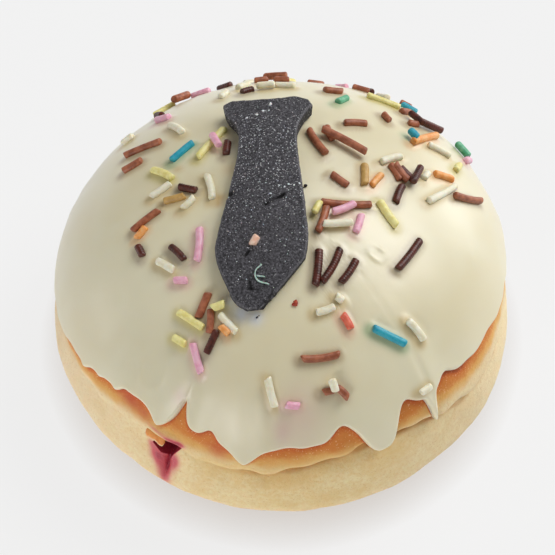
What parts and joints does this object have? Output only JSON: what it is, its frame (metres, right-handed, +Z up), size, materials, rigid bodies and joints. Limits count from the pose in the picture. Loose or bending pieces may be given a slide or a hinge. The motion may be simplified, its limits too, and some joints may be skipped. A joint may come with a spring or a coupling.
{
  "type": "filled iced doughnut",
  "caption": "Round jam-filled doughnut with pale poured icing, coloured sugar strands and a black sugar-paste necktie laid on top.",
  "frame": {"origin": "middle of the flat underside, where the bun rests", "axes": "+Z up through the dome, -Y towards the point of the necktie, +X to the right seen from there"},
  "size_m": [0.0908, 0.0908, 0.0524],
  "materials": {
    "crust": "matte",
    "icing": "satin",
    "black_paste": "matte",
    "jam": "gloss",
    "sugar_strands": "satin"
  },
  "bodies": {
    "root": {"dough": "crust", "icing": "icing", "necktie": "black_paste", "jam": "jam"}
  },
  "joints": []
}
